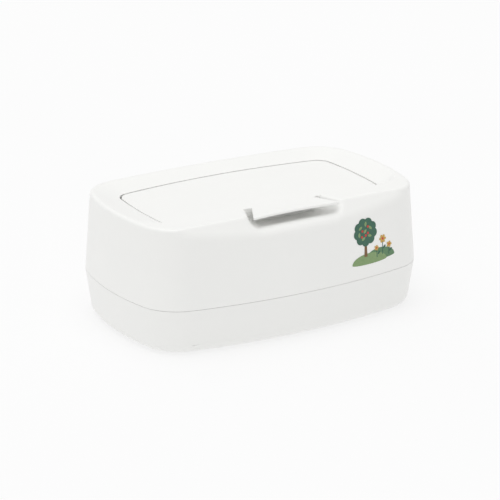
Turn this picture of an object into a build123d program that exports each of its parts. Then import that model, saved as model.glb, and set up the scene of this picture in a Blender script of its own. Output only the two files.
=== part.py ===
from build123d import *
import math
import os

# A refillable box for baby wipes: a tray, a housing that lifts off it, a flush lid with a finger
# tab, and a weighted plate that holds the wipes down. Millimetres, Z up, front towards -Y,
# origin on the table under the middle of the box.

# Outer form
overall_length = 245.0
overall_width = 159.2
seam_height = 36.0
rim_height = 96.6
wall = 2.4
deck_skin = 2.2
seam_reveal = 0.25

# How far a cutter reaches past what it cuts, how far two joined shapes run into each other,
# and the slack when an edge is picked by its place
over = 1.0
merge = 0.2
hair = 0.01
near_middle = 1.0

seam_side_radius = 452.0
seam_end_radius = 198.0
seam_corner_radius = 34.0

rim_end_lean = 4.2
rim_side_lean = 8.9
rim_side_radius = 1025.0
rim_end_radius = 198.0
rim_corner_radius = 33.4
rim_edge_radius = 2.4

# The straight front of the rim and the sloping face under it
facet_setback = 8.1
facet_slope = 0.75
crease_radius = 12.0

# Tray
base_end_lean = 4.2
base_side_lean = 4.8
base_side_radius = 452.0
base_end_radius = 180.0
base_corner_radius = 31.0
base_edge_radius = 8.2
tray_floor = 2.6
spigot_height = 6.0
spigot_wall = 1.8
spigot_clearance = 0.5
spigot_root = 4.0
gasket_groove = 0.9
gasket_height = 2.0
gasket_proud = 0.2

# Feet
foot_diameter = 12.0
foot_proud = 0.6
foot_depth = 1.0
foot_inset_x = 32.0
foot_inset_y = 28.0

# Dished top and lid
dish_depth = 4.9
rim_land = 3.2
front_land = 16.6
lid_end_margin = 25.0
lid_back_margin = 20.2
lid_front_margin = 22.0
lid_side_radius = 510.0
lid_end_radius = 320.0
lid_corner_radius = 11.4
lid_gap = 1.2
lid_thickness = 2.0
lid_edge_radius = 0.6
lid_rest_width = 3.5
lid_rest_thickness = 1.8
lid_rest_gap = 0.3
web_thickness = 2.0
web_gap = 0.3

# Finger tab and the pocket under it
tab_reach = 4.4
tab_front_bow = 2.6
tab_thickness = 2.1
tab_root_half = 27.0
tab_front_half = 37.2
tab_shoulder = 1.0
tab_edge_radius = 0.7
ramp_half = 32.2
ramp_run = 9.0
ramp_heel = 1.0
ramp_clearance = 0.8
ramp_slot_ahead = 0.2
pocket_flare = 6.5
pocket_side_slope = 0.4
pocket_depth = 11.2
pocket_floor_rise = 0.13
pocket_wall = 2.0
pocket_corner_radius = 9.0
pocket_lip_radius = 7.5
dam_thickness = 2.2
tab_under_set = 1.0
tab_under_sag = 0.3
dam_drop = 1.3

# Inner frame under the lid
skirt_depth = 7.7
skirt_wall = 2.2
flange_width = 9.0
flange_thickness = 2.0
flange_corner_growth = 9.0
frame_gasket_thickness = 1.0
soft_gap = 0.3
trough_depth = 20.5
trough_wall = 2.0
trough_ahead_of_hinge = 4.0
mouth_end_margin = 31.3
mouth_front_margin = 12.0
mouth_to_hinge = 16.0
mouth_corner_radius = 10.0
mouth_rim_wall = 1.8
mouth_rim_height = 4.2

# Hinge
hinge_setback = 21.5
hinge_below_lid = 4.5
hinge_pin_radius = 1.25
hinge_running_clearance = 0.05
hinge_end_margin = 36.5
hinge_pin_length = 20.0
hinge_pin_chamfer = 0.25
knuckle_width = 12.0
knuckle_radius = 2.3
knuckle_side_gap = 0.4
ear_thickness = 3.0

# Lid liner and its seal
liner_thickness = 1.6
liner_margin = 7.0
seal_width = 4.0
seal_groove = 0.8
liner_hinge_gap = 4.0

# Screws that hold the frame
screw_radius = 1.5
screw_head_radius = 2.7
screw_head_height = 1.8
screw_length = 7.5
screw_hole_clearance = 0.2
screw_end_gap = 0.5
cross_span = 1.15
cross_arm = 0.24
cross_depth = 0.6
boss_radius = 3.6
boss_offset = 5.0
boss_top_gap = 1.2
boss_front_margin = 24.5
boss_back_margin = 32.5

# Weighted plate
plate_margin_x = 22.0
plate_margin_y = 20.0
plate_corner_radius = 18.0
plate_side_radius = 520.0
plate_end_radius = 240.0
plate_wall = 1.8
plate_floor = 2.0
plate_height = 10.0
plate_nub_height = 1.2
plate_nub_radius = 3.0
plate_slot_half_length = 36.0
plate_slot_half_width = 11.0
plate_slot_flat = 0.5
slot_rim_wall = 1.8
cover_thickness = 2.0
weight_length = 44.0
weight_width = 70.0
weight_thickness = 3.2
weight_clearance = 0.4
weight_corner = 3.0
weight_to_slot = 4.0
plate_screw_radius = 1.1
plate_screw_head_radius = 2.2
plate_screw_head_height = 1.2
plate_screw_sunk = 0.1
plate_post_radius = 3.0
plate_post_x = 28.0
plate_post_y = 33.0


class Bowed:
    """A rectangle with bowed sides and round corners, given by half sizes and three radii."""

    def __init__(self, half_length, half_width, side_radius, end_radius, corner_radius, front=None):
        self.half_length = half_length
        self.half_width = half_width
        self.side_radius = side_radius
        self.end_radius = end_radius
        self.corner_radius = corner_radius
        self.front = front

    def grown(self, by, corner_by=None):
        """The parallel outline that lies further out by this much."""
        corner = by if corner_by is None else corner_by
        front = None if self.front is None else self.front + by
        return Bowed(self.half_length + by, self.half_width + by, self.side_radius + by,
                     self.end_radius + by, self.corner_radius + corner, front)

    def back_corner(self):
        """Centre of the arc that touches the end arc and the bowed side."""
        side = Vector(0, self.half_width - self.side_radius)
        end = Vector(self.half_length - self.end_radius, 0)
        to_side = self.side_radius - self.corner_radius
        to_end = self.end_radius - self.corner_radius
        span = end - side
        along = (to_side**2 - to_end**2 + span.length**2) / (2 * span.length)
        across = math.sqrt(to_side**2 - along**2)
        unit = span.normalized()
        return side + unit * along + Vector(unit.Y, -unit.X) * across

    def flat_corner(self):
        """Centre of the arc that touches the end arc and the straight front, mirrored to +Y."""
        end_x = self.half_length - self.end_radius
        y = self.front - self.corner_radius
        x = end_x + math.sqrt((self.end_radius - self.corner_radius)**2 - y**2)
        return Vector(x, y)

    def quarter(self, flat):
        """End point, corner middle and side point of one quarter, in +X and +Y."""
        centre = self.flat_corner() if flat else self.back_corner()
        end = Vector(self.half_length - self.end_radius, 0)
        to_end = (centre - end).normalized()
        if flat:
            to_side = Vector(0, 1)
        else:
            to_side = (centre - Vector(0, self.half_width - self.side_radius)).normalized()
        middle = (to_end + to_side).normalized()
        radius = self.corner_radius
        return centre + to_end * radius, centre + middle * radius, centre + to_side * radius

    def wire(self, z):
        """The closed outline at this height, as eight edges that start at the right end."""
        be, bm, bs = self.quarter(False)
        fe, fm, fs = self.quarter(self.front is not None)

        def at(point, sx, sy):
            return (sx * point.X, sy * point.Y, z)

        if self.front is None:
            front_edge = ThreePointArc(at(fs, -1, -1), (0, -self.half_width, z), at(fs, 1, -1))
        else:
            front_edge = Line(at(fs, -1, -1), at(fs, 1, -1))
        return Wire([
            ThreePointArc(at(fe, 1, -1), (self.half_length, 0, z), at(be, 1, 1)),
            ThreePointArc(at(be, 1, 1), at(bm, 1, 1), at(bs, 1, 1)),
            ThreePointArc(at(bs, 1, 1), (0, self.half_width, z), at(bs, -1, 1)),
            ThreePointArc(at(bs, -1, 1), at(bm, -1, 1), at(be, -1, 1)),
            ThreePointArc(at(be, -1, 1), (-self.half_length, 0, z), at(fe, -1, -1)),
            ThreePointArc(at(fe, -1, -1), at(fm, -1, -1), at(fs, -1, -1)),
            front_edge,
            ThreePointArc(at(fs, 1, -1), at(fm, 1, -1), at(fe, 1, -1)),
        ])

    def back_y(self, x):
        """Y of the bowed back side at this X."""
        return self.half_width - self.side_radius + math.sqrt(self.side_radius**2 - x**2)


def between(lower, low_z, upper, high_z):
    """A straight-sided solid between two outlines."""
    return Solid.make_loft([lower.wire(low_z), upper.wire(high_z)], ruled=True)


def prism(outline, low_z, high_z):
    """An upright solid on one outline."""
    return extrude(Face(outline.wire(low_z)), high_z - low_z, dir=(0, 0, 1))


def block(x0, x1, y0, y1, z0, z1):
    """A box between two corners."""
    centre = ((x0 + x1) / 2, (y0 + y1) / 2, (z0 + z1) / 2)
    return Pos(*centre) * Box(x1 - x0, y1 - y0, z1 - z0)


def rod(x, y, low_z, high_z, radius):
    """An upright cylinder."""
    return Pos(x, y, (low_z + high_z) / 2) * Cylinder(radius, high_z - low_z)


def rod_along_x(x0, x1, y, z, radius):
    """A cylinder that lies along X."""
    return Pos((x0 + x1) / 2, y, z) * Rot(0, 90, 0) * Cylinder(radius, x1 - x0)


def side_profile(points, x0, x1):
    """A polygon of (y, z) points, pushed along X."""
    outline = Polyline(*[(x0, y, z) for y, z in points], close=True)
    return extrude(Face(Wire(outline.edges())), x1 - x0, dir=(1, 0, 0))


def slab(low_z, high_z):
    """Everything between two heights."""
    reach = overall_length
    return block(-reach, reach, -reach, reach, low_z, high_z)


seam = Bowed(overall_length / 2, overall_width / 2, seam_side_radius, seam_end_radius,
             seam_corner_radius)
rim = Bowed(seam.half_length - rim_end_lean, seam.half_width - rim_side_lean, rim_side_radius,
            rim_end_radius, rim_corner_radius)
base = Bowed(seam.half_length - base_end_lean, seam.half_width - base_side_lean,
             base_side_radius, base_end_radius, base_corner_radius)
rim_front = rim.half_width - facet_setback

lid = Bowed(rim.half_length - lid_end_margin, rim.half_width - lid_back_margin,
            lid_side_radius, lid_end_radius, lid_corner_radius, rim_front - lid_front_margin)
opening = lid.grown(lid_gap, 0)
deck_height = rim_height - dish_depth
dish_edge = Bowed(rim.half_length - rim_land, rim.half_width - rim_land,
                  rim_side_radius - rim_land, rim_end_radius - rim_land,
                  rim_corner_radius - rim_land, rim_front - front_land)

hinge_y = lid.half_width - hinge_setback
hinge_z = deck_height - hinge_below_lid
skirt_bottom = deck_height - skirt_depth
flange_top = skirt_bottom - frame_gasket_thickness
flange_bottom = flange_top - flange_thickness
floor_top = foot_proud + tray_floor
pocket_back = dish_edge.front
tab_front = rim_front + tab_reach
liner_bottom = deck_height - lid_thickness - liner_thickness

trough_front = hinge_y - trough_ahead_of_hinge
trough_bottom = flange_top - trough_depth - trough_wall
mouth_front = -lid.front + mouth_front_margin
mouth_back = hinge_y - mouth_to_hinge
plate_bottom = floor_top + plate_nub_height
plate_top = plate_bottom + plate_height
weight_x = plate_slot_half_length + slot_rim_wall + weight_to_slot + weight_length / 2
plate_posts = [(sx * plate_post_x, sy * plate_post_y) for sx in (-1, 1) for sy in (-1, 1)]

dam_top = deck_height - dam_drop
pocket_floor_back = rim_height - pocket_depth
hinge_x = opening.half_length - hinge_end_margin
mouth_half_length = lid.half_length - mouth_end_margin
boss_front_x = opening.half_length - boss_front_margin
boss_back_x = opening.half_length - boss_back_margin

boss_places = [(sx * (opening.half_length + boss_offset), 0) for sx in (-1, 1)]
boss_places += [(sx * boss_back_x, opening.back_y(boss_back_x) + boss_offset) for sx in (-1, 1)]
boss_places += [(sx * boss_front_x, -opening.front - boss_offset) for sx in (-1, 1)]


def housing_wall(grow):
    """The leaning wall as a solid, grown or shrunk."""
    return between(seam.grown(grow), seam_height, rim.grown(grow), rim_height)


def front_wedge(grow):
    """What lies in front of the sloping face, with that face moved out by this much."""
    far = overall_width
    start = rim_front + grow * math.hypot(1, facet_slope)
    above = rim_height + deck_skin
    top_y = start - (above - rim_height) * facet_slope
    low_z = rim_height - (far - start) / facet_slope
    return side_profile([(-top_y, above), (-far, above), (-far, low_z)],
                        -overall_length, overall_length)


def dish(grow, drop):
    """The hollow of the top, sunk by this much, with its space above."""
    high = rim_height - drop
    lower = opening.grown(grow)
    upper = dish_edge.grown(grow)
    return between(lower, deck_height - drop, upper, high) + prism(upper, high, high + wall * 2)


def pocket_plan(grow):
    """Half widths of the finger pocket at its back and at its mouth, and its two Y places."""
    back_half = ramp_half + ramp_clearance + grow
    mouth_y = -(rim.half_width + rim_side_lean)
    run = -pocket_back - mouth_y
    mouth_half = back_half + pocket_flare * run / (rim_front - pocket_back)
    return back_half, mouth_half, -pocket_back + grow, mouth_y


def pocket_floor(y, grow):
    """Height of the pocket's floor at this Y."""
    back_y = pocket_plan(grow)[2]
    return pocket_floor_back - grow + (back_y - y) * pocket_floor_rise


def pocket(grow):
    """The finger pocket in the front of the top, or its shell when grown."""
    back_half, mouth_half, back_y, mouth_y = pocket_plan(grow)
    high = rim_height + wall
    low = pocket_floor_back - grow

    def plan(z):
        inset = (rim_height - z) * pocket_side_slope
        return Wire(Polyline((-back_half + inset, back_y, z), (-mouth_half + inset, mouth_y, z),
                             (mouth_half - inset, mouth_y, z), (back_half - inset, back_y, z),
                             close=True).edges())

    body = Solid.make_loft([plan(low), plan(high)], ruled=True)
    near_y = mouth_y - over
    under = side_profile([(back_y, low - over), (back_y, low), (near_y, pocket_floor(near_y, grow)),
                          (near_y, low - over)], -overall_length, overall_length)
    body = body - under
    floor = body.faces().sort_by(Axis.Z)[0]
    sides = [e for e in floor.edges() if abs(e.tangent_at(0.5).Y) > 0.5]
    return fillet(sides, pocket_corner_radius + grow)


def ramp_slot():
    """The way through the dish's front slope for the raised front of the lid."""
    half = ramp_half + ramp_clearance
    return block(-half, half, -pocket_back - ramp_slot_ahead, -opening.front + over, dam_top,
                 rim_height + wall)


def housing_hollow():
    """The room inside the housing, under the dish and round the pocket's shell."""
    hollow = housing_wall(-wall) & slab(0, rim_height - deck_skin)
    hollow = hollow - front_wedge(-wall) - pocket(pocket_wall)
    lip = [e for e in hollow.edges() if on_pocket_mouth(e, pocket_wall)]
    hollow = fillet(lip, pocket_lip_radius - pocket_wall)
    return hollow - dish(deck_skin / 2, deck_skin)


def upper_housing():
    """The upper shell with its dished top, lid opening, finger pocket, skirt and bosses."""
    shell = housing_wall(0) - front_wedge(0)
    shell = fillet([e for e in shell.edges() if on_crease(e)], crease_radius) - pocket(0)
    shell = fillet([e for e in shell.edges() if on_pocket_mouth(e, 0)], pocket_lip_radius)
    top_face = shell.faces().filter_by(Axis.Z).sort_by(Axis.Z)[-1]
    shell = fillet([e for e in top_face.edges() if not on_pocket_back(e)], rim_edge_radius)
    shell = shell - dish(0, 0) - housing_hollow()
    skirt = prism(opening.grown(skirt_wall, 0), skirt_bottom, deck_height - deck_skin / 2)
    shell = shell + skirt
    for x, y in boss_places:
        shell = shell + rod(x, y, flange_top, deck_height - boss_top_gap, boss_radius)
    shell = shell - prism(opening, flange_top - over, rim_height)
    dam = block(-ramp_half - dam_thickness, ramp_half + dam_thickness, -pocket_back,
                -opening.front, skirt_bottom, dam_top)
    rest_top = deck_height - lid_thickness - lid_rest_gap
    rest = prism(opening.grown(skirt_wall / 2, 0), rest_top - lid_rest_thickness, rest_top)
    rest = rest - prism(opening.grown(-lid_rest_width, 0), skirt_bottom, rim_height)
    rest = rest & block(-overall_length, overall_length, -overall_width,
                        hinge_y - knuckle_radius - lid_rest_width, 0, rim_height)
    shell = shell + rest + dam - ramp_slot()
    for x, y in boss_places:
        shell = shell - rod(x, y, flange_bottom, flange_bottom + screw_length + screw_end_gap,
                            screw_radius)
    return shell & slab(seam_height + seam_reveal / 2, rim_height)


def on_pocket_mouth(edge, grow):
    """True for the edges where the pocket, or its shell, leaves through the sloping face."""
    middle = edge @ 0.5
    top = rim_height - (deck_skin if grow else 0)
    mouth_half = pocket_plan(grow)[1]
    face_y = -rim_front + (wall if grow else 0) * math.hypot(1, facet_slope)
    face_y = face_y - (rim_height - top) * facet_slope
    level = pocket_floor(middle.Y, grow) - hair < middle.Z < top - hair
    return level and abs(middle.X) < mouth_half and middle.Y < face_y - hair


def on_crease(edge):
    """True for the bowed edge between the sloping face and the front wall."""
    middle = edge @ 0.5
    low_enough = seam_height + spigot_height < middle.Z < rim_height - deck_skin
    return abs(middle.X) < near_middle and middle.Y < -rim_front and low_enough


def on_pocket_back(edge):
    """True for the straight top edge at the back of the pocket."""
    middle = edge @ 0.5
    return abs(middle.X) < near_middle and middle.Y < 0


def lower_tray():
    """The tray with rounded bottom edges, a spigot that locates the housing, and foot sockets."""
    top = seam_height - seam_reveal / 2
    body = between(base, foot_proud, seam, seam_height)
    body = fillet(body.faces().sort_by(Axis.Z)[0].edges(), base_edge_radius)
    room = between(base.grown(-wall), floor_top, seam.grown(-wall), seam_height)
    room = fillet(room.faces().sort_by(Axis.Z)[0].edges(), base_edge_radius - wall)
    inner = -wall - spigot_clearance - spigot_wall
    throat = prism(seam.grown(inner), seam_height - spigot_root, seam_height)
    room = (room & slab(0, seam_height - spigot_root)) + throat
    spigot = housing_wall(inner + spigot_wall) - housing_wall(inner)
    spigot = spigot & slab(seam_height, seam_height + spigot_height)
    tray = (body & slab(0, top)) - room
    collar = prism(seam.grown(inner + spigot_wall), seam_height - over, seam_height) - throat
    tray = tray + collar + spigot - tray_gasket_band(0)
    for sx in (-1, 1):
        for sy in (-1, 1):
            x, y = foot_place(sx, sy)
            tray = tray - rod(x, y, 0, foot_depth + foot_proud, foot_diameter / 2)
    return tray


def tray_gasket_band(proud):
    """A band around the spigot, as deep as its groove."""
    outer = -wall - spigot_clearance
    middle = seam_height + spigot_height / 2
    band = housing_wall(outer + proud) - housing_wall(outer - gasket_groove)
    return band & slab(middle - gasket_height / 2, middle + gasket_height / 2)


def foot_place(sx, sy):
    """Where one foot stands."""
    return sx * (base.half_length - foot_inset_x), sy * (base.half_width - foot_inset_y)


def foot(sx, sy):
    """One round rubber foot in its socket."""
    x, y = foot_place(sx, sy)
    body = rod(x, y, 0, foot_depth + foot_proud, foot_diameter / 2)
    return chamfer(body.faces().sort_by(Axis.Z)[0].edges(), foot_proud / 2)


def trough_plan(grow):
    """The plan of the trough: the back part of the opening, cut straight at its front."""
    plan = opening.grown(grow, 0)
    full = prism(plan, 0, rim_height)
    return full & block(-overall_length, overall_length, trough_front - grow, overall_width,
                        0, rim_height)


def mouth(grow):
    """The hole that the wipes are pulled through, as a solid through the frame."""
    half = mouth_half_length + grow
    y0 = mouth_front - grow
    y1 = mouth_back + grow
    body = block(-half, half, y0, y1, trough_bottom, rim_height)
    return fillet(body.edges().filter_by(Axis.Z), mouth_corner_radius + grow)


def opening_frame():
    """The frame under the lid: flange, trough behind the hinge, mouth rim and hinge ears."""
    outer = prism(opening.grown(flange_width, flange_corner_growth), flange_bottom, flange_top)
    tub = trough_plan(trough_wall) & slab(trough_bottom, flange_top)
    well = trough_plan(0) & slab(trough_bottom + trough_wall, rim_height)
    rim_wall = mouth(mouth_rim_wall) & slab(flange_bottom, flange_top + mouth_rim_height)
    frame = outer + tub - well + rim_wall - mouth(0)
    for side in (-1, 1):
        for near in (-1, 1):
            frame = frame + hinge_ear(side, near)
        frame = frame - hinge_bore(side, hinge_pin_radius)
    for x, y in boss_places:
        frame = frame - rod(x, y, flange_bottom, flange_top, screw_radius + screw_hole_clearance)
    return frame


def hinge_ear(side, near):
    """One ear beside a knuckle, standing on the trough's front wall."""
    inner = knuckle_width / 2 + knuckle_side_gap
    centre = side * hinge_x + near * (inner + ear_thickness / 2)
    x0 = centre - ear_thickness / 2
    x1 = centre + ear_thickness / 2
    eye = rod_along_x(x0, x1, hinge_y, hinge_z, knuckle_radius)
    web = side_profile([(trough_front - trough_wall, flange_bottom), (hinge_y, hinge_z - knuckle_radius),
                        (hinge_y, hinge_z + knuckle_radius * 0.5),
                        (hinge_y - knuckle_radius, hinge_z),
                        (trough_front - trough_wall, flange_top)], x0, x1)
    return eye + web


def hinge_bore(side, radius):
    """The straight hole for one hinge pin."""
    reach = hinge_pin_length / 2
    centre = side * hinge_x
    return rod_along_x(centre - reach, centre + reach, hinge_y, hinge_z, radius)


def hinge_pin(side):
    """One steel hinge pin with softly chamfered ends."""
    pin = hinge_bore(side, hinge_pin_radius)
    return chamfer(pin.edges(), hinge_pin_chamfer)


def frame_gasket():
    """The flat gasket between the housing's skirt and the frame."""
    low = flange_top
    high = skirt_bottom - soft_gap
    ring = prism(opening.grown(skirt_wall, 0), low, high) - prism(opening, low, high)
    for x, y in boss_places:
        ring = ring - rod(x, y, low, high, boss_radius + soft_gap)
    return ring


def frame_screws():
    """The screws that hold the frame up under the housing."""
    screws = []
    for x, y in boss_places:
        head = rod(x, y, flange_bottom - screw_head_height, flange_bottom, screw_head_radius)
        shank = rod(x, y, flange_bottom - merge, flange_bottom + screw_length, screw_radius)
        drive = Pos(x, y, flange_bottom - screw_head_height) * cross_recess(screw_head_radius)
        screws.append(head + shank - drive)
    return Compound(children=screws)


def cross_recess(head_radius):
    """A cross-shaped recess that opens downwards."""
    long_side = head_radius * cross_span
    arm = head_radius * cross_arm
    deep = head_radius * cross_depth
    return Box(long_side, arm, deep) + Box(arm, long_side, deep)


def tab_plan(ramp_back):
    """The outline of the ramp and the tab from above, with a slightly hollow front edge."""
    waist_y = -pocket_back + tab_shoulder
    root_y = -pocket_back - tab_shoulder
    sides = Polyline((-tab_front_half, -tab_front), (-tab_root_half, root_y), (-ramp_half, waist_y),
                     (-ramp_half, ramp_back + over), (ramp_half, ramp_back + over),
                     (ramp_half, waist_y), (tab_root_half, root_y), (tab_front_half, -tab_front))
    front = ThreePointArc((tab_front_half, -tab_front), (0, -tab_front + tab_front_bow),
                          (-tab_front_half, -tab_front))
    return Wire(list(sides.edges()) + [front])


def lid_body():
    """The flush panel, its ramp and its tab, as one outline without the hinge."""
    panel = prism(lid, deck_height - lid_thickness, deck_height)
    panel = fillet(panel.faces().sort_by(Axis.Z)[-1].edges(), lid_edge_radius)
    ramp_back = -pocket_back + ramp_run
    ramp = side_profile([
        (ramp_back, deck_height), (-pocket_back, rim_height), (-tab_front, rim_height),
        (-tab_front, rim_height - tab_thickness),
        (-pocket_back - tab_under_set, rim_height - tab_thickness - tab_under_sag),
        (ramp_back - tab_under_set, deck_height - lid_thickness + ramp_heel),
        (ramp_back, deck_height - lid_thickness),
    ], -tab_front_half, tab_front_half)
    outline = extrude(Face(tab_plan(ramp_back)), rim_height * 2, dir=(0, 0, 1))
    web = block(-ramp_half, ramp_half, -pocket_back, -pocket_back + web_thickness,
                dam_top + web_gap, rim_height - lid_thickness)
    body = panel + (ramp & outline) + web
    tab_edges = [e for e in body.edges() if (e @ 0.5).Y < -pocket_back - 2 * tab_shoulder]
    return fillet(tab_edges, tab_edge_radius)


def lid_panel():
    """The lid: flush panel, ramp, finger tab and hinge knuckles."""
    body = lid_body()
    for side in (-1, 1):
        x0 = side * hinge_x - knuckle_width / 2
        x1 = side * hinge_x + knuckle_width / 2
        eye = rod_along_x(x0, x1, hinge_y, hinge_z, knuckle_radius)
        neck = block(x0, x1, hinge_y - knuckle_radius, hinge_y + knuckle_radius,
                     hinge_z, deck_height - lid_thickness + merge)
        bore_radius = hinge_pin_radius + hinge_running_clearance
        body = body + eye + neck - rod_along_x(x0, x1, hinge_y, hinge_z, bore_radius)
    return body


def liner_plan(inset):
    """The liner's outline, cut straight in front of the hinge."""
    full = prism(lid.grown(-liner_margin - inset, 0), 0, rim_height)
    return full & block(-overall_length, overall_length, -overall_width,
                        hinge_y - liner_hinge_gap - inset, 0, rim_height)


def lid_liner():
    """The stiffening liner under the lid, with a groove for its seal."""
    liner = liner_plan(0) & slab(liner_bottom, deck_height - lid_thickness)
    return liner - seal_band(liner_bottom, liner_bottom + seal_groove)


def seal_band(low, high):
    """A flat ring over the rim of the mouth."""
    middle = mouth_rim_wall / 2
    ring = mouth(middle + seal_width / 2) - mouth(middle - seal_width / 2)
    return ring & slab(low, high)


def lid_seal():
    """The soft ring in the liner that closes on the rim of the mouth."""
    return seal_band(flange_top + mouth_rim_height + soft_gap, liner_bottom + seal_groove)


plate_outline = Bowed(seam.half_length - plate_margin_x, seam.half_width - plate_margin_y,
                      plate_side_radius, plate_end_radius, plate_corner_radius)


def plate_slot(grow, low_z, high_z):
    """The slot in the middle of the weighted plate."""
    body = block(-plate_slot_half_length - grow, plate_slot_half_length + grow,
                 -plate_slot_half_width - grow, plate_slot_half_width + grow, low_z, high_z)
    return fillet(body.edges().filter_by(Axis.Z), plate_slot_half_width + grow - plate_slot_flat)


def weight_pocket(side, grow, low_z, high_z):
    """The place of one weight beside the slot."""
    middle = side * weight_x
    return block(middle - weight_length / 2 - grow, middle + weight_length / 2 + grow,
                 -weight_width / 2 - grow, weight_width / 2 + grow, low_z, high_z)


def press_plate():
    """The hollow plate that lies on the wipes, open at its top for the weights."""
    body = prism(plate_outline, plate_bottom, plate_top - cover_thickness)
    body = body - prism(plate_outline.grown(-plate_wall), plate_bottom + plate_floor, plate_top)
    body = body + plate_slot(slot_rim_wall, plate_bottom, plate_top - cover_thickness)
    for side in (-1, 1):
        room = weight_pocket(side, weight_clearance + plate_wall, plate_bottom,
                             plate_bottom + plate_floor + weight_thickness)
        hole = weight_pocket(side, weight_clearance, plate_bottom + plate_floor, plate_top)
        body = body + (room - hole)
    for x, y in plate_posts:
        body = body + rod(x, y, plate_bottom, plate_top - cover_thickness, plate_post_radius)
        body = body - rod(x, y, plate_bottom + plate_floor, plate_top, plate_screw_radius)
        body = body + rod(x, y, plate_bottom - plate_nub_height, plate_bottom, plate_nub_radius)
    return body - plate_slot(0, plate_bottom - over, plate_top)


def plate_cover():
    """The cover that closes the plate over its weights."""
    cover = prism(plate_outline, plate_top - cover_thickness, plate_top)
    cover = fillet(cover.faces().sort_by(Axis.Z)[-1].edges(), cover_thickness / 2)
    cover = cover - plate_slot(0, plate_bottom, plate_top + over)
    for x, y in plate_posts:
        cover = cover - rod(x, y, plate_bottom, plate_top + over,
                            plate_screw_radius + screw_hole_clearance)
        cover = cover - rod(x, y, plate_top - plate_screw_head_height, plate_top + over,
                            plate_screw_head_radius + screw_hole_clearance)
    return cover


def plate_weight(side):
    """One flat steel weight."""
    low = plate_bottom + plate_floor
    weight = weight_pocket(side, 0, low, low + weight_thickness)
    return chamfer(weight.edges().filter_by(Axis.Z), weight_corner)


def plate_screws():
    """The small screws that hold the cover on the plate."""
    screws = []
    for x, y in plate_posts:
        under_head = plate_top - plate_screw_head_height
        head_top = plate_top - plate_screw_sunk
        head = rod(x, y, under_head, head_top, plate_screw_head_radius)
        shank = rod(x, y, plate_bottom + plate_floor + screw_end_gap, under_head + merge,
                    plate_screw_radius)
        drive = Pos(x, y, head_top) * cross_recess(plate_screw_head_radius)
        screws.append(head + shank - drive)
    return Compound(children=screws)


def main():
    """Write every piece to its own file."""
    os.makedirs("parts", exist_ok=True)
    pieces = {
        "lower_tray": lower_tray(),
        "tray_gasket": tray_gasket_band(gasket_proud),
        "foot_front_left": foot(-1, -1),
        "foot_front_right": foot(1, -1),
        "foot_rear_left": foot(-1, 1),
        "foot_rear_right": foot(1, 1),
        "upper_housing": upper_housing(),
        "opening_frame": opening_frame(),
        "frame_gasket": frame_gasket(),
        "frame_screws": frame_screws(),
        "hinge_pin_left": hinge_pin(-1),
        "hinge_pin_right": hinge_pin(1),
        "lid_panel": lid_panel(),
        "lid_liner": lid_liner(),
        "lid_seal": lid_seal(),
        "press_plate": press_plate(),
        "plate_cover": plate_cover(),
        "plate_weight_left": plate_weight(-1),
        "plate_weight_right": plate_weight(1),
        "plate_screws": plate_screws(),
    }
    for name, piece in pieces.items():
        solids = piece.solids()
        shape = solids[0] if len(solids) == 1 else Compound(children=list(solids))
        box = shape.bounding_box()
        low = [round(v, 1) for v in box.min]
        high = [round(v, 1) for v in box.max]
        print(name, len(solids), round(shape.volume), low, high)
        export_step(shape, f"parts/{name}.step")


main()
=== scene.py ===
import math

import bmesh
import bpy
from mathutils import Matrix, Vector
from mathutils.bvhtree import BVHTree


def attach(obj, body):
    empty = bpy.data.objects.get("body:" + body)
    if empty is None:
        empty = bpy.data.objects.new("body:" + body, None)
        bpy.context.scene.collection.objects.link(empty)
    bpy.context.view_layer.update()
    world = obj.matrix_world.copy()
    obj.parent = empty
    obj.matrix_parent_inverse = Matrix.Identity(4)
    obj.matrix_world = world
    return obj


# A white baby wipes box: satin moulded plastic, a small printed picture on the front wall,
# and a plain floor whose glow, painted light, shows it nearly white, with soft light. Metres,
# in the frame of the imported part. Names that end in mm, and all sizes of the print, are in
# millimetres.

MM = 0.001
WHITE = (1.0, 1.0, 1.0, 1.0)

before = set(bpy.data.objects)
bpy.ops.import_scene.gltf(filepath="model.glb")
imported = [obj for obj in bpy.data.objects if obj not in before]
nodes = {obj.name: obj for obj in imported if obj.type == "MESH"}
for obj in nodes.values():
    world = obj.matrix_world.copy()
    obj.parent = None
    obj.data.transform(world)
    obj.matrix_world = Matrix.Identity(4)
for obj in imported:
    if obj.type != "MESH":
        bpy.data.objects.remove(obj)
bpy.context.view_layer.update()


# Node helpers for materials

FULL_BLEND = (0.0, 1.0)
# The range that holds most values of one noise
NOISE_CORE = (0.3, 0.7)


def new_material(name):
    """An empty node material with its output and one shader."""
    material = bpy.data.materials.new(name)
    material.use_nodes = True
    tree = material.node_tree
    tree.nodes.clear()
    output = tree.nodes.new("ShaderNodeOutputMaterial")
    shader = tree.nodes.new("ShaderNodeBsdfPrincipled")
    tree.links.new(shader.outputs["BSDF"], output.inputs["Surface"])
    return material, tree, shader


def object_place(tree):
    """Object coordinates, which here are metres in the part's frame."""
    return tree.nodes.new("ShaderNodeTexCoord").outputs["Object"]


def noise(tree, place, size_mm, detail, rough=0.5, stretch=(1, 1, 1)):
    """Noise whose features are about this size."""
    mapping = tree.nodes.new("ShaderNodeMapping")
    mapping.inputs["Scale"].default_value = stretch
    tree.links.new(place, mapping.inputs["Vector"])
    node = tree.nodes.new("ShaderNodeTexNoise")
    node.inputs["Scale"].default_value = 1 / (size_mm * MM)
    node.inputs["Detail"].default_value = detail
    node.inputs["Roughness"].default_value = rough
    tree.links.new(mapping.outputs["Vector"], node.inputs["Vector"])
    return node.outputs["Fac"]


def remap(tree, value, source, target):
    """The value moved from one range to another, held inside it."""
    node = tree.nodes.new("ShaderNodeMapRange")
    node.inputs["From Min"].default_value = source[0]
    node.inputs["From Max"].default_value = source[1]
    node.inputs["To Min"].default_value = target[0]
    node.inputs["To Max"].default_value = target[1]
    tree.links.new(value, node.inputs["Value"])
    return node.outputs["Result"]


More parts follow.
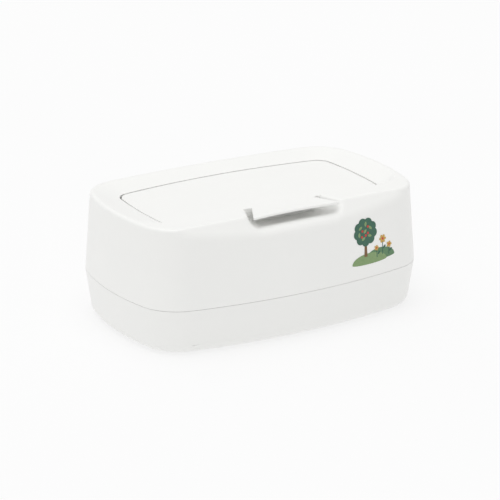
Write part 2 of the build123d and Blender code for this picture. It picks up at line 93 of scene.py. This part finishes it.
def around(middle, below, above):
    """The range that reaches this far below and above the middle."""
    return middle - below, middle + above


def mix_colour(tree, factor, first, second):
    """A blend of two colours."""
    node = tree.nodes.new("ShaderNodeMix")
    node.data_type = "RGBA"
    tree.links.new(factor, node.inputs["Factor"])
    # Inputs 6 and 7 and output 2 are the node's colour sockets
    node.inputs[6].default_value = (*first, 1.0)
    node.inputs[7].default_value = (*second, 1.0)
    return node.outputs[2]


def add(tree, first, second, weight=1.0):
    """first + second * weight."""
    node = tree.nodes.new("ShaderNodeMath")
    node.operation = "MULTIPLY_ADD"
    tree.links.new(second, node.inputs[0])
    node.inputs[1].default_value = weight
    tree.links.new(first, node.inputs[2])
    return node.outputs[0]


def bump(tree, height, depth_mm, finer=None):
    """A bump of this depth, laid over a finer one where there is one."""
    node = tree.nodes.new("ShaderNodeBump")
    node.inputs["Strength"].default_value = 1.0
    node.inputs["Distance"].default_value = depth_mm * MM
    tree.links.new(height, node.inputs["Height"])
    if finer is not None:
        tree.links.new(finer, node.inputs["Normal"])
    return node.outputs["Normal"]


# Plastic

PLASTIC_IOR = 1.49
# How much the small clouds add to the wide drift of colour, and the range of that sum
CLOUD_WEIGHT = 0.35
DRIFT_RANGE = (0.35, 0.95)
# Only the peaks of the scuff noise leave a mark, which is this much rougher
SCUFF_PEAKS = (0.66, 0.8)
SCUFF_ROUGHNESS = 0.1
WAVE_DEPTH_MM = 0.05


def plastic(name, colour, warm, roughness, grain_mm, grain_depth_mm):
    """Moulded plastic: faint colour drift, fine tool grain, slow waviness and light scuffs."""
    material, tree, shader = new_material(name)
    place = object_place(tree)
    drift = noise(tree, place, size_mm=60, detail=2)
    cloud = noise(tree, place, size_mm=9, detail=3)
    grain = noise(tree, place, size_mm=grain_mm, detail=2, rough=0.6)
    wave = noise(tree, place, size_mm=35, detail=1)
    scuff = noise(tree, place, size_mm=4, detail=4, rough=0.7, stretch=(1, 1, 7))
    tone = remap(tree, add(tree, drift, cloud, CLOUD_WEIGHT), DRIFT_RANGE, FULL_BLEND)
    tree.links.new(mix_colour(tree, tone, colour, warm), shader.inputs["Base Color"])
    rough = remap(tree, cloud, NOISE_CORE, around(roughness, below=0.04, above=0.05))
    marks = remap(tree, scuff, SCUFF_PEAKS, (0.0, SCUFF_ROUGHNESS))
    tree.links.new(add(tree, rough, marks), shader.inputs["Roughness"])
    surface = bump(tree, wave, WAVE_DEPTH_MM, finer=bump(tree, grain, grain_depth_mm))
    tree.links.new(surface, shader.inputs["Normal"])
    shader.inputs["IOR"].default_value = PLASTIC_IOR
    return material


# Rubber

RUBBER_IOR = 1.45
PIT_DEPTH_MM = 0.03
# The range of a patchy noise in which one colour turns into the other
PATCH_RANGE = (0.35, 0.7)


def rubber(name, colour, dark, roughness):
    """Matt rubber with a dusty, finely pitted skin."""
    material, tree, shader = new_material(name)
    place = object_place(tree)
    dust = noise(tree, place, size_mm=3, detail=4)
    pits = noise(tree, place, size_mm=0.35, detail=2)
    base = mix_colour(tree, remap(tree, dust, PATCH_RANGE, FULL_BLEND), dark, colour)
    tree.links.new(base, shader.inputs["Base Color"])
    rough = remap(tree, dust, NOISE_CORE, around(roughness, below=0.08, above=0.06))
    tree.links.new(rough, shader.inputs["Roughness"])
    tree.links.new(bump(tree, pits, PIT_DEPTH_MM), shader.inputs["Normal"])
    shader.inputs["IOR"].default_value = RUBBER_IOR
    return material


# Steel

LINE_DEPTH_MM = 0.008
STAIN_RANGE = (0.4, 0.72)
# The brightness of the lightest stain, against clean steel
STAIN_SHADE = 0.86


def steel(name, colour, roughness, stretch, stain=0.0):
    """Steel with drawn or rolled lines and faint stains."""
    material, tree, shader = new_material(name)
    place = object_place(tree)
    lines = noise(tree, place, size_mm=0.5, detail=3, rough=0.6, stretch=stretch)
    stains = noise(tree, place, size_mm=7, detail=4)
    darker = tuple(c * (STAIN_SHADE - stain) for c in colour)
    base = mix_colour(tree, remap(tree, stains, STAIN_RANGE, FULL_BLEND), colour, darker)
    tree.links.new(base, shader.inputs["Base Color"])
    shader.inputs["Metallic"].default_value = 1.0
    rough = remap(tree, lines, NOISE_CORE, around(roughness, below=0.08, above=0.1))
    tree.links.new(rough, shader.inputs["Roughness"])
    tree.links.new(bump(tree, lines, LINE_DEPTH_MM), shader.inputs["Normal"])
    return material


# Ink

INK_ROUGHNESS = (0.34, 0.5)
INK_DOT_DEPTH_MM = 0.012


def ink(name, colour, shade):
    """Pad-printed ink: thin, a little uneven, with a faint screen of fine dots."""
    material, tree, shader = new_material(name)
    place = object_place(tree)
    patch = noise(tree, place, size_mm=1.6, detail=3)
    speck = noise(tree, place, size_mm=0.25, detail=2)
    base = mix_colour(tree, remap(tree, patch, PATCH_RANGE, FULL_BLEND), colour, shade)
    tree.links.new(base, shader.inputs["Base Color"])
    tree.links.new(remap(tree, speck, NOISE_CORE, INK_ROUGHNESS), shader.inputs["Roughness"])
    tree.links.new(bump(tree, speck, INK_DOT_DEPTH_MM), shader.inputs["Normal"])
    return material


# Materials of the part's own nodes

shell_white = plastic("shell_white", (0.905, 0.905, 0.885), (0.89, 0.892, 0.874),
                      roughness=0.36, grain_mm=0.5, grain_depth_mm=0.006)
inner_white = plastic("inner_white", (0.80, 0.815, 0.805), (0.78, 0.79, 0.78),
                      roughness=0.5, grain_mm=0.7, grain_depth_mm=0.012)
seal_grey = rubber("seal_grey", (0.60, 0.64, 0.63), (0.54, 0.58, 0.57), roughness=0.55)
foot_grey = rubber("foot_grey", (0.45, 0.46, 0.46), (0.36, 0.37, 0.37), roughness=0.75)
screw_zinc = steel("screw_zinc", (0.62, 0.62, 0.64), roughness=0.32, stretch=(1, 1, 1))
pin_bright = steel("pin_bright", (0.68, 0.68, 0.69), roughness=0.24, stretch=(0.05, 1, 1))
weight_plate = steel("weight_plate", (0.46, 0.46, 0.47), roughness=0.42,
                     stretch=(1, 0.05, 1), stain=0.1)

node_materials = (
    (shell_white, ("lower_tray", "upper_housing", "lid_panel")),
    (inner_white, ("opening_frame", "lid_liner", "press_plate", "plate_cover")),
    (seal_grey, ("tray_gasket", "frame_gasket", "lid_seal")),
    (foot_grey, ("foot_front_left", "foot_front_right", "foot_rear_left", "foot_rear_right")),
    (screw_zinc, ("frame_screws", "plate_screws")),
    (pin_bright, ("hinge_pin_left", "hinge_pin_right")),
    (weight_plate, ("plate_weight_left", "plate_weight_right")),
)
for material, names in node_materials:
    for name in names:
        for material_slot in nodes[name].material_slots:
            material_slot.material = material


# The print on the front wall: its middle, its scale and the height of one layer of ink

PRINT_X = 63.0
PRINT_Z = 63.5
PRINT_SCALE = 1.14
PRINT_LIFT = 0.04
# Rays that look for the wall start here, in metres, well in front of it
RAY_START_Y = -0.2

housing_tree = BVHTree.FromObject(nodes["upper_housing"],
                                  bpy.context.evaluated_depsgraph_get())


def on_wall(u, v, lift):
    """The point of the front wall behind (u, v) of the print, lifted off it, in metres."""
    start = Vector(((PRINT_X + u * PRINT_SCALE) * MM, RAY_START_Y,
                    (PRINT_Z + v * PRINT_SCALE) * MM))
    hit, normal, _, _ = housing_tree.ray_cast(start, Vector((0, 1, 0)))
    if normal.y > 0:
        normal = -normal
    return hit + normal * lift * MM


def print_shape(name, outline, centre, layer, material, rings=5):
    """A flat inked shape, star-shaped about its centre, laid on the wall."""
    mesh = bpy.data.meshes.new(name)
    bm = bmesh.new()
    lift = PRINT_LIFT * (1 + layer)
    middle = bm.verts.new(on_wall(*centre, lift))
    loops = []
    for ring in range(1, rings + 1):
        share = ring / rings
        loops.append([bm.verts.new(on_wall(centre[0] + (u - centre[0]) * share,
                                           centre[1] + (v - centre[1]) * share, lift))
                      for u, v in outline])
    count = len(outline)
    for i in range(count):
        j = (i + 1) % count
        bm.faces.new((middle, loops[0][i], loops[0][j]))
        for inner, outer in zip(loops, loops[1:]):
            bm.faces.new((inner[i], outer[i], outer[j], inner[j]))
    bm.normal_update()
    bmesh.ops.recalc_face_normals(bm, faces=bm.faces[:])
    if sum(face.normal.y for face in bm.faces) > 0:
        bmesh.ops.reverse_faces(bm, faces=bm.faces[:])
    bm.to_mesh(mesh)
    bm.free()
    mesh.materials.append(material)
    for polygon in mesh.polygons:
        polygon.use_smooth = True
    shape = bpy.data.objects.new(name, mesh)
    bpy.context.collection.objects.link(shape)
    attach(shape, "housing")


# Outlines, as lists of points

# Powers that shape the tips of a leaf and the lobes of a crown or flower
LEAF_POWER = 0.6
LOBE_POWER = 0.7
# How far a hill bulges down at its foot, against its height
HILL_FOOT = 0.22


def circle_angles(count):
    """This many angles, evenly all the way round."""
    return [2 * math.pi * i / count for i in range(count)]


def disc(cx, cy, radius):
    """A circle."""
    return [(cx + radius * math.cos(angle), cy + radius * math.sin(angle))
            for angle in circle_angles(count=20)]


def leaf(cx, cy, length, width, turn):
    """A pointed leaf."""
    points = []
    for angle in circle_angles(count=32):
        x = length / 2 * math.cos(angle)
        y = width / 2 * math.sin(angle) * abs(math.sin(angle)) ** LEAF_POWER
        points.append((cx + x * math.cos(turn) - y * math.sin(turn),
                       cy + x * math.sin(turn) + y * math.cos(turn)))
    return points


def lobed(cx, cy, radius, lobes, depth, turn=0.0):
    """A round outline with soft lobes, such as a tree's crown or a flower."""
    points = []
    for angle in circle_angles(count=120):
        bulge = abs(math.cos(lobes * (angle + turn) / 2)) ** LOBE_POWER
        reach = radius * (1 - depth + depth * bulge)
        points.append((cx + reach * math.cos(angle), cy + reach * math.sin(angle)))
    return points


def hill(cx, base, rx, ry):
    """A low hill with a nearly flat foot."""
    points = []
    for angle in circle_angles(count=64):
        y = math.sin(angle)
        height = ry * y if y > 0 else HILL_FOOT * ry * y
        points.append((cx + rx * math.cos(angle), base + height))
    return points


def band(x0, y0, x1, y1, w0, w1):
    """A straight stroke that narrows from the width w0 to the width w1."""
    steps = 8
    length = math.hypot(x1 - x0, y1 - y0)
    nx = -(y1 - y0) / length
    ny = (x1 - x0) / length
    one_side = []
    other_side = []
    for i in range(steps + 1):
        t = i / steps
        half = (w0 + (w1 - w0) * t) / 2
        x = x0 + (x1 - x0) * t
        y = y0 + (y1 - y0) * t
        one_side.append((x + nx * half, y + ny * half))
        other_side.append((x - nx * half, y - ny * half))
    return one_side + other_side[::-1]


# The picture: a tree with berries on a low hill, and three flowers

ink_forest = ink("ink_forest", (0.035, 0.115, 0.075), (0.045, 0.14, 0.09))
ink_sage = ink("ink_sage", (0.20, 0.31, 0.13), (0.24, 0.35, 0.16))
ink_moss = ink("ink_moss", (0.10, 0.21, 0.10), (0.12, 0.24, 0.12))
ink_mustard = ink("ink_mustard", (0.55, 0.34, 0.07), (0.6, 0.38, 0.09))
ink_red = ink("ink_red", (0.52, 0.035, 0.03), (0.58, 0.05, 0.04))
ink_bark = ink("ink_bark", (0.17, 0.085, 0.03), (0.2, 0.1, 0.04))

print_shape("print_hill_back", hill(6, -12.5, rx=12.5, ry=6.5),
            centre=(6, -12.0), layer=0, material=ink_moss)
print_shape("print_hill_front", hill(-3, -14, rx=14.5, ry=6.0),
            centre=(-3, -13.2), layer=1, material=ink_sage)
print_shape("print_trunk", band(-6, -10.0, -5.6, 2.0, w0=2.6, w1=1.5),
            centre=(-5.8, -4.0), layer=2, material=ink_bark)
print_shape("print_crown", lobed(-5.5, 6.5, radius=9.6, lobes=9, depth=0.14, turn=0.2),
            centre=(-5.5, 6.5), layer=3, material=ink_forest, rings=8)

# x, y and turn of each leaf on the crown
CROWN_LEAVES = ((-9.5, 9.5, 0.6), (-5.2, 11.8, 1.4), (-1.4, 8.8, 2.3), (-2.2, 3.6, 2.9),
                (-7.4, 2.2, 3.7), (-10.6, 5.2, 4.6), (-5.8, 7.0, 0.9))
for number, (x, y, turn) in enumerate(CROWN_LEAVES):
    print_shape(f"print_crown_leaf_{number}", leaf(x, y, length=3.4, width=1.7, turn=turn),
                centre=(x, y), layer=4, material=ink_sage, rings=3)

# x and y of each berry
BERRIES = ((-8.0, 7.4), (-3.4, 9.9), (-3.6, 5.6), (-8.6, 3.6), (-5.4, 4.2))
for number, (x, y) in enumerate(BERRIES):
    print_shape(f"print_berry_{number}", disc(x, y, radius=0.85),
                centre=(x, y), layer=5, material=ink_red, rings=2)

# Foot and head of each flower's stem, the radius of its petals and their number
FLOWERS = ((8.2, -11, 8.6, -0.6, 2.9, 6),
           (13.6, -12, 14.0, -5.4, 2.2, 5),
           (3.4, -12, 3.2, -5.8, 1.9, 5))
# The radius of a flower's eye, against its petals
EYE_SHARE = 0.3
for number, (x0, y0, x1, y1, radius, petals) in enumerate(FLOWERS):
    middle = ((x0 + x1) / 2, (y0 + y1) / 2)
    leaf_spot = (x0 + 1.7, middle[1] - 0.4)
    print_shape(f"print_stem_{number}", band(x0, y0, x1, y1, w0=0.65, w1=0.5),
                centre=middle, layer=2, material=ink_forest, rings=2)
    print_shape(f"print_petals_{number}", lobed(x1, y1, radius, petals, depth=0.42),
                centre=(x1, y1), layer=3, material=ink_mustard, rings=4)
    print_shape(f"print_eye_{number}", disc(x1, y1, radius * EYE_SHARE),
                centre=(x1, y1), layer=4, material=ink_red, rings=2)
    print_shape(f"print_stem_leaf_{number}", leaf(*leaf_spot, length=3.2, width=1.4, turn=0.7),
                centre=leaf_spot, layer=2, material=ink_forest, rings=3)


# The floor, mid grey but glowing: painted light that shows it nearly white under the soft
# light, keeps the box's shadow on it faint and lights the box from below

FLOOR_COLOUR = (0.302, 0.302, 0.302)
FLOOR_COLOUR_2 = (0.298, 0.298, 0.298)
# Painted light: how strongly the floor glows, which whitens it, fades the box's shadow on it
# and lights the box from below
FLOOR_GLOW = 0.655
FLOOR_CLOUD_MM = 400
FLOOR_REACH = 6.0


def floor():
    """A wide floor whose glow is painted light: it whitens the floor, fades the box's shadow
    on it and lights the box.
    """
    material, tree, shader = new_material("floor_glowing")
    place = object_place(tree)
    cloud = noise(tree, place, FLOOR_CLOUD_MM, detail=2)
    base = mix_colour(tree, remap(tree, cloud, NOISE_CORE, FULL_BLEND),
                      FLOOR_COLOUR, FLOOR_COLOUR_2)
    tree.links.new(base, shader.inputs["Base Color"])
    shader.inputs["Roughness"].default_value = 0.9
    shader.inputs["Specular IOR Level"].default_value = 0.0
    # Painted light: the floor glows though it is no lamp
    shader.inputs["Emission Color"].default_value = WHITE
    shader.inputs["Emission Strength"].default_value = FLOOR_GLOW
    mesh = bpy.data.meshes.new("floor")
    corners = [(-FLOOR_REACH, -FLOOR_REACH, 0), (FLOOR_REACH, -FLOOR_REACH, 0),
               (FLOOR_REACH, FLOOR_REACH, 0), (-FLOOR_REACH, FLOOR_REACH, 0)]
    mesh.from_pydata(corners, [], [(0, 1, 2, 3)])
    mesh.materials.append(material)
    plane = bpy.data.objects.new("floor", mesh)
    bpy.context.collection.objects.link(plane)


floor()


# Light

AMBIENT = 0.70
SUN_DISTANCE = 3

world = bpy.data.worlds.new("studio")
bpy.context.scene.world = world
world.use_nodes = True
background = world.node_tree.nodes["Background"]
background.inputs["Color"].default_value = WHITE
background.inputs["Strength"].default_value = AMBIENT


def direction(azimuth, elevation):
    """The direction from the box to that place, in degrees, azimuth 0 being the front."""
    a = math.radians(azimuth)
    e = math.radians(elevation)
    return Vector((math.sin(a) * math.cos(e), -math.cos(a) * math.cos(e), math.sin(e)))


def sun(name, azimuth, elevation, strength, angle):
    """A very soft distant light from that direction."""
    light = bpy.data.lights.new(name, "SUN")
    light.energy = strength
    light.angle = math.radians(angle)
    body = bpy.data.objects.new(name, light)
    bpy.context.collection.objects.link(body)
    away = direction(azimuth, elevation)
    body.location = away * SUN_DISTANCE
    body.rotation_euler = away.to_track_quat("Z", "Y").to_euler()


sun("key_above", azimuth=-60, elevation=80, strength=0.92, angle=50)
sun("top_back", azimuth=175, elevation=64, strength=0.24, angle=60)
sun("fill_left", azimuth=-95, elevation=20, strength=0.08, angle=60)


# The camera, fitted to the photo's outline of the box

CAMERA_DISTANCE = 1.8
CAMERA_TARGET = Vector((-0.0006, 0.0, 0.04525))

camera_data = bpy.data.cameras.new("camera")
camera_data.lens = 170.0
camera_data.sensor_width = 36.0
camera_data.clip_start = 0.05
camera_data.clip_end = 50.0
camera = bpy.data.objects.new("camera", camera_data)
bpy.context.collection.objects.link(camera)
towards_camera = direction(azimuth=-30.67, elevation=19.38)
camera.location = CAMERA_TARGET + towards_camera * CAMERA_DISTANCE
camera.rotation_euler = (-towards_camera).to_track_quat("-Z", "Y").to_euler()
bpy.context.scene.camera = camera
bpy.context.scene.view_settings.view_transform = "Standard"
